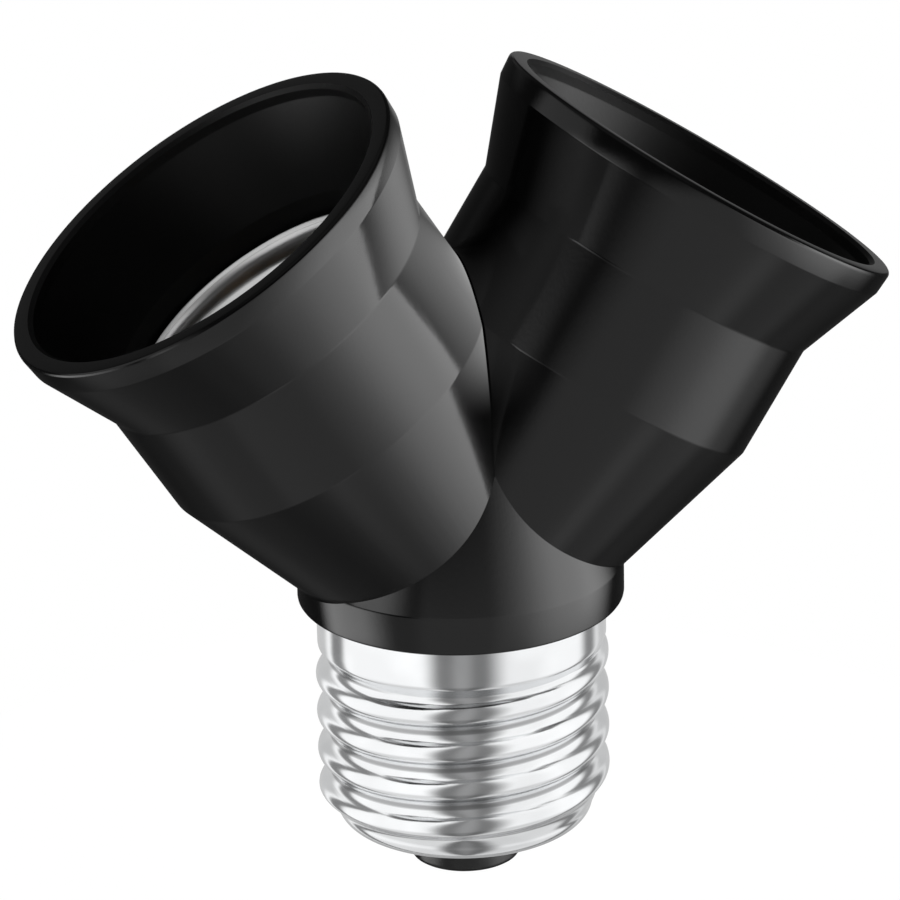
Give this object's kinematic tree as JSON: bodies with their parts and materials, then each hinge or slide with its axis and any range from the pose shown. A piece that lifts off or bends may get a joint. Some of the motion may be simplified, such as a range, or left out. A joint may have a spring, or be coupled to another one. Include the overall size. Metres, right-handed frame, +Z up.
{
  "type": "lamp socket adapter",
  "caption": "Black Y-shaped lamp socket adapter with a plated Edison screw base and two flared screw sockets tilted apart in a V.",
  "frame": {"origin": "middle of the collar's underside, where the black moulding meets the screw cap", "axes": "+Z up along the screw cap towards the sockets, +X towards the right-hand socket, so both sockets lie in the XZ plane"},
  "size_m": [0.0782, 0.0386, 0.0737],
  "materials": {
    "black_plastic": "smooth moulded, satin gloss",
    "plated_metal": "nickel plated sheet, bright",
    "black_insulator": "moulded",
    "brass": "turned, bare",
    "brass_shell": "nickel plated brass sheet",
    "bronze": "phosphor bronze strip",
    "base_plastic": "moulded, matt",
    "steel": "zinc plated",
    "lead_live": "insulated wire",
    "lead_neutral": "insulated wire"
  },
  "bodies": {
    "adapter": {"housing": "black_plastic", "cap_shell": "plated_metal", "cap_insulator": "black_insulator", "cap_contact": "brass", "socket_shell_left": "brass_shell", "socket_shell_right": "brass_shell", "socket_base_left": "base_plastic", "socket_base_right": "base_plastic", "fixing_screws_left": "steel", "fixing_screws_right": "steel", "contact_leaf_left": "bronze", "contact_leaf_right": "bronze", "leaf_rivet_left": "brass", "leaf_rivet_right": "brass", "live_tag_left": "brass", "live_tag_right": "brass", "shell_strap_left": "bronze", "shell_strap_right": "bronze", "live_lead_left": "lead_live", "live_lead_right": "lead_live", "neutral_lead_left": "lead_neutral", "neutral_lead_right": "lead_neutral"},
    "contact_left": {"contact_button_left": "brass"},
    "contact_right": {"contact_button_right": "brass"}
  },
  "joints": [
    {"name": "contact_left", "type": "hinge", "parent": "adapter", "child": "contact_left", "pos_m": [-0.01405, 0, 0.01469], "axis": [0, 1, 0], "range_deg": [0, 10.5], "stiffness_Nm_per_rad": 0.05, "deforming": ["contact_leaf_left"]},
    {"name": "contact_right", "type": "hinge", "parent": "adapter", "child": "contact_right", "pos_m": [0.01405, 0, 0.01469], "axis": [0, -1, 0], "range_deg": [0, 10.5], "stiffness_Nm_per_rad": 0.05, "deforming": ["contact_leaf_right"]}
  ]
}
